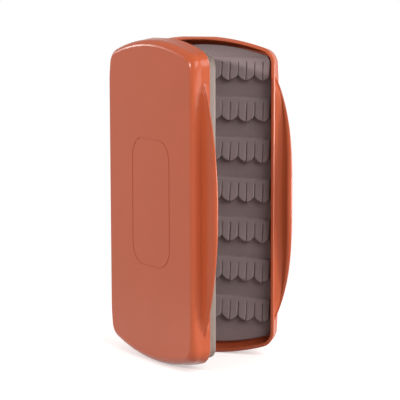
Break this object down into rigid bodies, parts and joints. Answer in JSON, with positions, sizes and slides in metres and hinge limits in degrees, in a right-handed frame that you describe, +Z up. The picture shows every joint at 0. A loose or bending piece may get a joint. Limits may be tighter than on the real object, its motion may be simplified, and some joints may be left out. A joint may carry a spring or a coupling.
{
  "type": "fly box",
  "caption": "Slim hinged case with arched ends, finger lips, a sealing ring and slit foam liners for fishing flies, standing open on its end.",
  "frame": {"origin": "on the standing plane, under the middle of the open box's bounding box", "axes": "+Z up along the box and its hinge axis, +X from the hinge to the base half's free edge, +Y out of the base half's flat outer face"},
  "size_m": [0.1118, 0.0764, 0.19],
  "materials": {
    "case_plastic": "smooth moulded terracotta plastic with a soft gloss",
    "gasket_silicone": "matt light grey silicone",
    "foam_backing": "fine closed-cell foam, matt",
    "foam_strip": "fine closed-cell foam, matt",
    "magnet": "nickel plated",
    "pin_steel": "drawn stainless wire"
  },
  "bodies": {
    "base": {"base_shell": "case_plastic", "base_foam_backing": "foam_backing", "base_foam_strip_1": "foam_strip", "base_foam_strip_2": "foam_strip", "base_foam_strip_3": "foam_strip", "base_foam_strip_4": "foam_strip", "base_foam_strip_5": "foam_strip", "base_foam_strip_6": "foam_strip", "base_foam_strip_7": "foam_strip", "base_magnet_upper": "magnet", "base_magnet_lower": "magnet", "hinge_pin": "pin_steel"},
    "lid": {"lid_shell": "case_plastic", "lid_foam_backing": "foam_backing", "lid_foam_strip_1": "foam_strip", "lid_foam_strip_2": "foam_strip", "lid_foam_strip_3": "foam_strip", "lid_foam_strip_4": "foam_strip", "lid_foam_strip_5": "foam_strip", "lid_foam_strip_6": "foam_strip", "lid_foam_strip_7": "foam_strip", "lid_magnet_upper": "magnet", "lid_magnet_lower": "magnet", "lid_gasket": "gasket_silicone"}
  },
  "joints": [
    {"name": "lid_hinge", "type": "hinge", "parent": "base", "child": "lid", "pos_m": [-0.05346, 0.02642, 0.095], "axis": [0, 0, -1], "range_deg": [-34, 146]}
  ]
}
